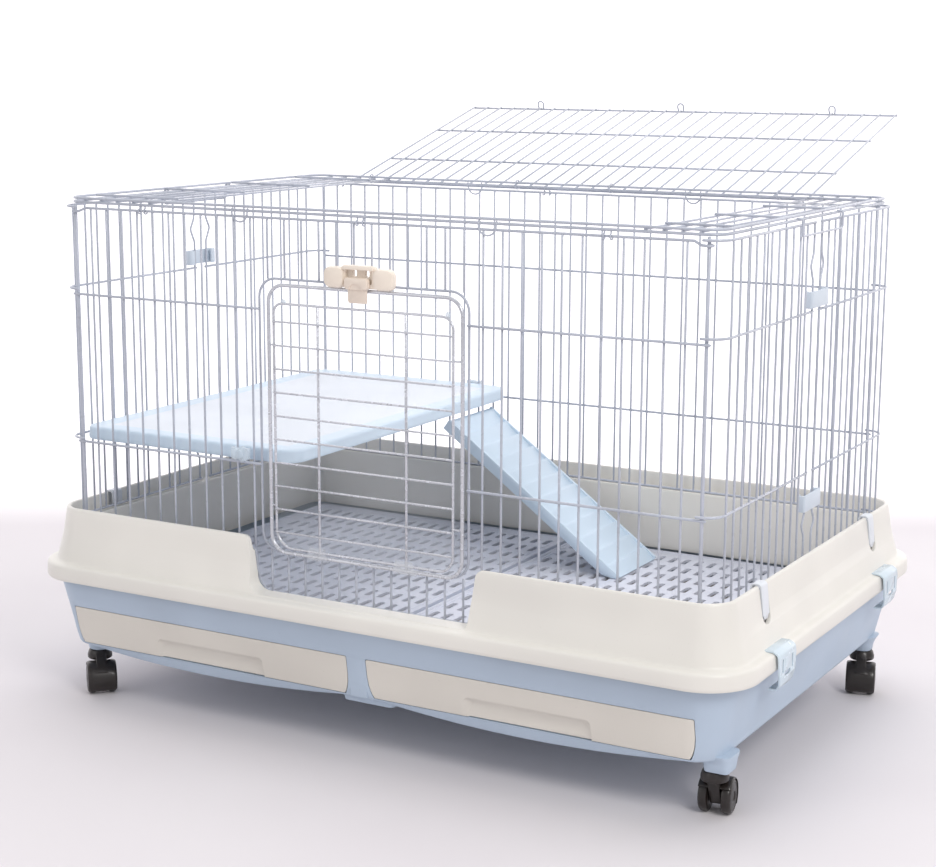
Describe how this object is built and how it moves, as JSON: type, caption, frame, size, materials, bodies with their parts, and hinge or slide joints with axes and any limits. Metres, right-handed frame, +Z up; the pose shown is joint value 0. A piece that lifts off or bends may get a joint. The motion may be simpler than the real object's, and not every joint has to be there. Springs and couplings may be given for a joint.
{
  "type": "rabbit hutch",
  "caption": "Indoor wire rabbit hutch on a caster tray base with drawers, front door, open roof lid, platform and ramp.",
  "frame": {"origin": "centre of the bounding box of the hutch with its roof lid open, on the floor that the casters stand on", "axes": "+X to the right along the width, -Y out of the front door, +Z up"},
  "size_m": [1.015, 1.002, 0.7744],
  "materials": {
    "blue_plastic": "satin moulded",
    "pale_blue_plastic": "satin moulded",
    "ivory_plastic": "satin moulded",
    "beige_plastic": "satin moulded",
    "lilac_plastic": "satin moulded",
    "cream_plastic": "satin moulded",
    "coated_wire": "smooth plastic coat",
    "white_wire": "smooth plastic coat",
    "clear_plastic": "clear polished",
    "black_plastic": "glossy moulded",
    "steel": "bright"
  },
  "bodies": {
    "cage": {"base_tub": "blue_plastic", "floor_grid_left": "lilac_plastic", "floor_grid_right": "lilac_plastic", "collar": "ivory_plastic", "wire_panel_front": "coated_wire", "wire_panel_back": "coated_wire", "roof_frame": "coated_wire", "platform": "pale_blue_plastic", "door_latch_body": "cream_plastic", "collar_retainer_left_front": "lilac_plastic", "wire_panel_left_front": "coated_wire", "collar_retainer_left_rear": "lilac_plastic", "wire_panel_left_rear": "coated_wire", "collar_retainer_right_front": "lilac_plastic", "wire_panel_right_front": "coated_wire", "collar_retainer_right_rear": "lilac_plastic", "wire_panel_right_rear": "coated_wire"},
    "drawer_left": {"drawer_left": "beige_plastic"},
    "drawer_right": {"drawer_right": "beige_plastic"},
    "door": {"door_frame": "white_wire", "door_plate": "clear_plastic", "door_cuff_left": "clear_plastic", "door_cuff_right": "clear_plastic"},
    "latch": {"door_latch_slider": "cream_plastic"},
    "lid": {"roof_lid": "coated_wire"},
    "ramp": {"ramp": "pale_blue_plastic"},
    "roof_bail_left": {"roof_bail_left": "coated_wire"},
    "side_clip_left_upper": {"side_clip_left_upper": "pale_blue_plastic"},
    "side_clip_left_lower": {"side_clip_left_lower": "pale_blue_plastic"},
    "collar_hasp_left_front": {"collar_hasp_left_front": "pale_blue_plastic"},
    "collar_hasp_left_rear": {"collar_hasp_left_rear": "pale_blue_plastic"},
    "roof_bail_right": {"roof_bail_right": "coated_wire"},
    "side_clip_right_upper": {"side_clip_right_upper": "pale_blue_plastic"},
    "side_clip_right_lower": {"side_clip_right_lower": "pale_blue_plastic"},
    "collar_hasp_right_front": {"collar_hasp_right_front": "pale_blue_plastic"},
    "collar_hasp_right_rear": {"collar_hasp_right_rear": "pale_blue_plastic"},
    "platform_knob_front": {"platform_knob_front": "clear_plastic"},
    "platform_knob_rear": {"platform_knob_rear": "clear_plastic"},
    "caster_front_left": {"caster_fork_front_left": "black_plastic", "caster_axle_front_left": "steel"},
    "caster_wheel_front_left_a": {"caster_wheel_front_left_a": "black_plastic"},
    "caster_wheel_front_left_b": {"caster_wheel_front_left_b": "black_plastic"},
    "caster_front_right": {"caster_fork_front_right": "black_plastic", "caster_axle_front_right": "steel"},
    "caster_wheel_front_right_a": {"caster_wheel_front_right_a": "black_plastic"},
    "caster_wheel_front_right_b": {"caster_wheel_front_right_b": "black_plastic"},
    "caster_brake": {"caster_brake_front_right": "black_plastic"},
    "caster_rear_left": {"caster_fork_rear_left": "black_plastic", "caster_axle_rear_left": "steel"},
    "caster_wheel_rear_left_a": {"caster_wheel_rear_left_a": "black_plastic"},
    "caster_wheel_rear_left_b": {"caster_wheel_rear_left_b": "black_plastic"},
    "caster_rear_right": {"caster_fork_rear_right": "black_plastic", "caster_axle_rear_right": "steel"},
    "caster_wheel_rear_right_a": {"caster_wheel_rear_right_a": "black_plastic"},
    "caster_wheel_rear_right_b": {"caster_wheel_rear_right_b": "black_plastic"}
  },
  "joints": [
    {"name": "drawer_left_slide", "type": "slide", "parent": "cage", "child": "drawer_left", "axis": [0, -1, 0], "range_m": [0, 0.42]},
    {"name": "drawer_right_slide", "type": "slide", "parent": "cage", "child": "drawer_right", "axis": [0, -1, 0], "range_m": [0, 0.42]},
    {"name": "door_hinge", "type": "hinge", "parent": "cage", "child": "door", "pos_m": [0, -0.46107, 0.241], "axis": [1, 0, 0], "range_deg": [0, 100]},
    {"name": "latch_slide", "type": "slide", "parent": "cage", "child": "latch", "axis": [0, 0, 1], "range_m": [0, 0.006]},
    {"name": "lid_hinge", "type": "hinge", "parent": "cage", "child": "lid", "pos_m": [0, 0.11493, 0.6628], "axis": [1, 0, 0], "range_deg": [0, 164.7]},
    {"name": "ramp_hinge", "type": "hinge", "parent": "cage", "child": "ramp", "pos_m": [-0.113, 0.00053, 0.341], "axis": [0, -1, 0], "range_deg": [0, 35]},
    {"name": "roof_bail_left_hinge", "type": "hinge", "parent": "cage", "child": "roof_bail_left", "pos_m": [-0.4562, -0.16947, 0.6628], "axis": [0, 1, 0], "range_deg": [0, 90]},
    {"name": "side_clip_left_upper_slide", "type": "slide", "parent": "cage", "child": "side_clip_left_upper", "axis": [0, 0, 1], "range_m": [0, 0.045]},
    {"name": "side_clip_left_lower_slide", "type": "slide", "parent": "cage", "child": "side_clip_left_lower", "axis": [0, 0, 1], "range_m": [0, 0.02]},
    {"name": "collar_hasp_left_front_hinge", "type": "hinge", "parent": "cage", "child": "collar_hasp_left_front", "pos_m": [-0.5075, -0.35947, 0.142], "axis": [0, -1, 0], "range_deg": [0, 60]},
    {"name": "collar_hasp_left_rear_hinge", "type": "hinge", "parent": "cage", "child": "collar_hasp_left_rear", "pos_m": [-0.5075, 0.02053, 0.142], "axis": [0, -1, 0], "range_deg": [0, 60]},
    {"name": "roof_bail_right_hinge", "type": "hinge", "parent": "cage", "child": "roof_bail_right", "pos_m": [0.4562, -0.16947, 0.6628], "axis": [0, -1, 0], "range_deg": [0, 90]},
    {"name": "side_clip_right_upper_slide", "type": "slide", "parent": "cage", "child": "side_clip_right_upper", "axis": [0, 0, 1], "range_m": [0, 0.045]},
    {"name": "side_clip_right_lower_slide", "type": "slide", "parent": "cage", "child": "side_clip_right_lower", "axis": [0, 0, 1], "range_m": [0, 0.02]},
    {"name": "collar_hasp_right_front_hinge", "type": "hinge", "parent": "cage", "child": "collar_hasp_right_front", "pos_m": [0.5075, -0.35947, 0.142], "axis": [0, 1, 0], "range_deg": [0, 60]},
    {"name": "collar_hasp_right_rear_hinge", "type": "hinge", "parent": "cage", "child": "collar_hasp_right_rear", "pos_m": [0.5075, 0.02053, 0.142], "axis": [0, 1, 0], "range_deg": [0, 60]},
    {"name": "platform_knob_front_turn", "type": "hinge", "parent": "cage", "child": "platform_knob_front", "pos_m": [-0.175, -0.45887, 0.359], "axis": [0, -1, 0], "range_deg": [0, 720]},
    {"name": "platform_knob_rear_turn", "type": "hinge", "parent": "cage", "child": "platform_knob_rear", "pos_m": [-0.175, 0.11993, 0.359], "axis": [0, 1, 0], "range_deg": [0, 720]},
    {"name": "caster_front_left_swivel", "type": "hinge", "parent": "cage", "child": "caster_front_left", "pos_m": [-0.4445, -0.42847, 0.056], "axis": [0, 0, 1], "continuous": true},
    {"name": "caster_front_left_wheel_a_spin", "type": "hinge", "parent": "caster_front_left", "child": "caster_wheel_front_left_a", "pos_m": [-0.43389, -0.43908, 0.0205], "axis": [0.7071, 0.7071, 0], "continuous": true},
    {"name": "caster_front_left_wheel_b_spin", "type": "hinge", "parent": "caster_front_left", "child": "caster_wheel_front_left_b", "pos_m": [-0.43389, -0.43908, 0.0205], "axis": [0.7071, 0.7071, 0], "continuous": true},
    {"name": "caster_front_right_swivel", "type": "hinge", "parent": "cage", "child": "caster_front_right", "pos_m": [0.4515, -0.42847, 0.056], "axis": [0, 0, 1], "continuous": true},
    {"name": "caster_front_right_wheel_a_spin", "type": "hinge", "parent": "caster_front_right", "child": "caster_wheel_front_right_a", "pos_m": [0.44941, -0.41362, 0.0205], "axis": [-0.9903, -0.1392, 0], "continuous": true},
    {"name": "caster_front_right_wheel_b_spin", "type": "hinge", "parent": "caster_front_right", "child": "caster_wheel_front_right_b", "pos_m": [0.44941, -0.41362, 0.0205], "axis": [-0.9903, -0.1392, 0], "continuous": true},
    {"name": "caster_brake_tip", "type": "hinge", "parent": "caster_front_right", "child": "caster_brake", "pos_m": [0.4483, -0.40569, 0.0464], "axis": [-0.9903, -0.1392, 0], "range_deg": [0, 18]},
    {"name": "caster_rear_left_swivel", "type": "hinge", "parent": "cage", "child": "caster_rear_left", "pos_m": [-0.4445, 0.08953, 0.056], "axis": [0, 0, 1], "continuous": true},
    {"name": "caster_rear_left_wheel_a_spin", "type": "hinge", "parent": "caster_rear_left", "child": "caster_wheel_rear_left_a", "pos_m": [-0.437, 0.10252, 0.0205], "axis": [-0.866, 0.5, 0], "continuous": true},
    {"name": "caster_rear_left_wheel_b_spin", "type": "hinge", "parent": "caster_rear_left", "child": "caster_wheel_rear_left_b", "pos_m": [-0.437, 0.10252, 0.0205], "axis": [-0.866, 0.5, 0], "continuous": true},
    {"name": "caster_rear_right_swivel", "type": "hinge", "parent": "cage", "child": "caster_rear_right", "pos_m": [0.4515, 0.08953, 0.056], "axis": [0, 0, 1], "continuous": true},
    {"name": "caster_rear_right_wheel_a_spin", "type": "hinge", "parent": "caster_rear_right", "child": "caster_wheel_rear_right_a", "pos_m": [0.45563, 0.07511, 0.0205], "axis": [0.9613, 0.2756, 0], "continuous": true},
    {"name": "caster_rear_right_wheel_b_spin", "type": "hinge", "parent": "caster_rear_right", "child": "caster_wheel_rear_right_b", "pos_m": [0.45563, 0.07511, 0.0205], "axis": [0.9613, 0.2756, 0], "continuous": true}
  ]
}
